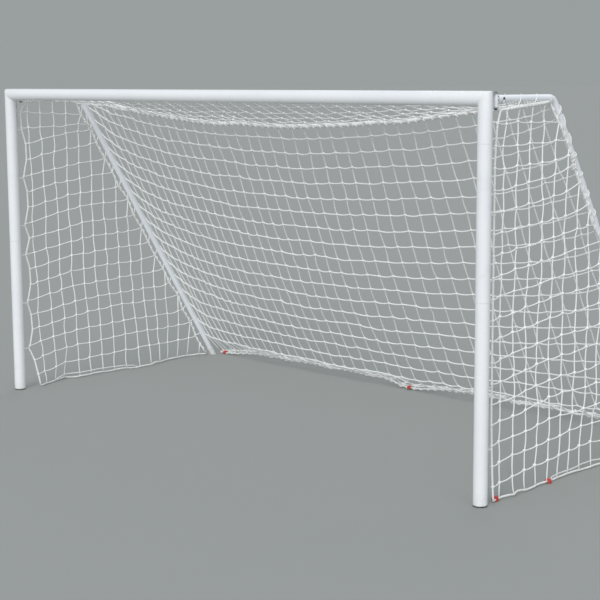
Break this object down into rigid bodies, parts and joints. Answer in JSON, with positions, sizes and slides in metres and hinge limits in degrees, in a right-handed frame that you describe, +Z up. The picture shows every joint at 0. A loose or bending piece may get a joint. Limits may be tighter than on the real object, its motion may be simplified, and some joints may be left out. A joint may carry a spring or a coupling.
{
  "type": "portable soccer goal",
  "caption": "Portable soccer goal: a white tube front frame, thinner slanting side frames that fold in on hinges, and a net pegged to the ground.",
  "frame": {"origin": "on the ground, in the middle of the whole footprint", "axes": "+X runs along the crossbar, with the posts at both ends. +Y points from the goal mouth to the back net. +Z is up."},
  "size_m": [3.794, 1.7498, 1.897],
  "materials": {
    "white_frame_paint": "semi-gloss white powder coat",
    "white_stay_paint": "satin white paint",
    "zinc_plated_steel": "zinc plated",
    "dark_hinge_steel": "dark oxide",
    "black_foot_plastic": "matt",
    "white_moulded_plastic": "smooth matt",
    "white_net_twine": "braided twine",
    "red_peg_plastic": "glossy"
  },
  "bodies": {
    "front_frame": {"crossbar_tube_1": "white_frame_paint", "crossbar_tube_2": "white_frame_paint", "crossbar_tube_3": "white_frame_paint", "crossbar_tube_4": "white_frame_paint", "crossbar_coupler_1": "zinc_plated_steel", "crossbar_coupler_2": "zinc_plated_steel", "crossbar_coupler_3": "zinc_plated_steel", "left_corner": "white_frame_paint", "left_post_upper": "white_frame_paint", "left_post_lower": "white_frame_paint", "left_post_coupler": "zinc_plated_steel", "left_post_foot": "black_foot_plastic", "left_hinge_bracket": "zinc_plated_steel", "left_hinge_pin": "dark_hinge_steel", "left_hinge_nut": "dark_hinge_steel", "left_net_clip_1": "white_moulded_plastic", "left_net_clip_2": "white_moulded_plastic", "left_net_clip_3": "white_moulded_plastic", "left_net_clip_4": "white_moulded_plastic", "left_net_clip_5": "white_moulded_plastic", "left_net_clip_6": "white_moulded_plastic", "right_corner": "white_frame_paint", "right_post_upper": "white_frame_paint", "right_post_lower": "white_frame_paint", "right_post_coupler": "zinc_plated_steel", "right_post_foot": "black_foot_plastic", "right_hinge_bracket": "zinc_plated_steel", "right_hinge_pin": "dark_hinge_steel", "right_hinge_nut": "dark_hinge_steel", "right_net_clip_1": "white_moulded_plastic", "right_net_clip_2": "white_moulded_plastic", "right_net_clip_3": "white_moulded_plastic", "right_net_clip_4": "white_moulded_plastic", "right_net_clip_5": "white_moulded_plastic", "right_net_clip_6": "white_moulded_plastic", "top_net": "white_net_twine", "back_net": "white_net_twine", "back_peg_left": "red_peg_plastic", "back_peg_middle": "red_peg_plastic", "back_peg_right": "red_peg_plastic"},
    "left_stay": {"left_hinge_sleeve": "white_stay_paint", "left_bar_bolt": "dark_hinge_steel", "left_top_bar": "white_stay_paint", "left_rear_elbow": "white_stay_paint", "left_stay_upper": "white_stay_paint", "left_stay_lower": "white_stay_paint", "left_stay_coupler": "zinc_plated_steel", "left_stay_foot": "white_moulded_plastic", "left_net": "white_net_twine"},
    "right_stay": {"right_hinge_sleeve": "white_stay_paint", "right_bar_bolt": "dark_hinge_steel", "right_top_bar": "white_stay_paint", "right_rear_elbow": "white_stay_paint", "right_stay_upper": "white_stay_paint", "right_stay_lower": "white_stay_paint", "right_stay_coupler": "zinc_plated_steel", "right_stay_foot": "white_moulded_plastic", "right_net": "white_net_twine", "side_peg_front": "red_peg_plastic", "side_peg_middle": "red_peg_plastic"}
  },
  "joints": [
    {"name": "left_fold", "type": "hinge", "parent": "front_frame", "child": "left_stay", "pos_m": [-1.863, -0.76592, 1.863], "axis": [0, 0, -1], "range_deg": [0, 90], "deforming": ["top_net", "back_net"]},
    {"name": "right_fold", "type": "hinge", "parent": "front_frame", "child": "right_stay", "pos_m": [1.863, -0.76592, 1.863], "axis": [0, 0, 1], "range_deg": [0, 90]}
  ],
  "couplings": [
    {"joint": "right_fold", "follows": "left_fold", "ratio": 1}
  ]
}
